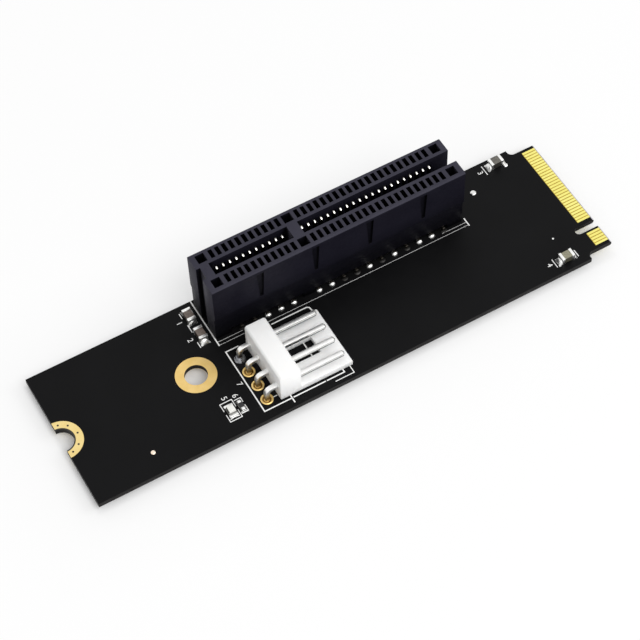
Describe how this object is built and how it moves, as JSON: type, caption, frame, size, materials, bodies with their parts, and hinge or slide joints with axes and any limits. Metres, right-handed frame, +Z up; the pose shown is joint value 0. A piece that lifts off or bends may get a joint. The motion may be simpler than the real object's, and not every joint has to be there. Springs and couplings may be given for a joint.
{
  "type": "gumstick ssd to pcie riser card",
  "caption": "Slim black adapter board with a gold card-edge tongue, an upright open-ended card slot, a white right-angle power header and round screw fixings",
  "frame": {"origin": "the middle of the card's outline, on the surface that its soldered tails rest on", "axes": "+X along the card to its edge fingers, +Y across the card to the slot side, +Z up out of the slot"},
  "size_m": [0.08, 0.022, 0.0132],
  "materials": {
    "board_mask": "black solder mask over glass epoxy, slight sheen",
    "gold_plate": "gold over nickel, fairly smooth",
    "slot_plastic": "moulded glass-filled plastic, fine matte grain",
    "contact_metal": "plated spring strip",
    "header_plastic": "moulded white plastic, satin",
    "tinned_metal": "bright tin plate",
    "capacitor_ceramic": "fired ceramic, satin",
    "resistor_coat": "black overcoat on ceramic",
    "lamp_base": "white laminate",
    "lamp_lens": "clear epoxy"
  },
  "bodies": {
    "root": {"circuit_board": "board_mask", "edge_fingers_top": "gold_plate", "edge_fingers_bottom": "gold_plate", "mid_hole_rings": "gold_plate", "end_notch_rings": "gold_plate", "slot_housing": "slot_plastic", "power_header_body": "header_plastic", "resistor_body": "resistor_coat", "resistor_ends": "tinned_metal", "led_base": "lamp_base", "led_lens": "lamp_lens", "led_ends": "tinned_metal", "slot_contacts_front_inner": "contact_metal", "slot_contacts_front_outer": "contact_metal", "slot_contacts_back_inner": "contact_metal", "slot_contacts_back_outer": "contact_metal", "power_pin_1": "tinned_metal", "power_pin_2": "tinned_metal", "power_pin_3": "tinned_metal", "power_pin_4": "tinned_metal", "capacitor_1": "capacitor_ceramic", "capacitor_1_ends": "tinned_metal", "capacitor_2": "capacitor_ceramic", "capacitor_2_ends": "tinned_metal", "capacitor_3": "capacitor_ceramic", "capacitor_3_ends": "tinned_metal", "capacitor_4": "capacitor_ceramic", "capacitor_4_ends": "tinned_metal"}
  },
  "joints": []
}
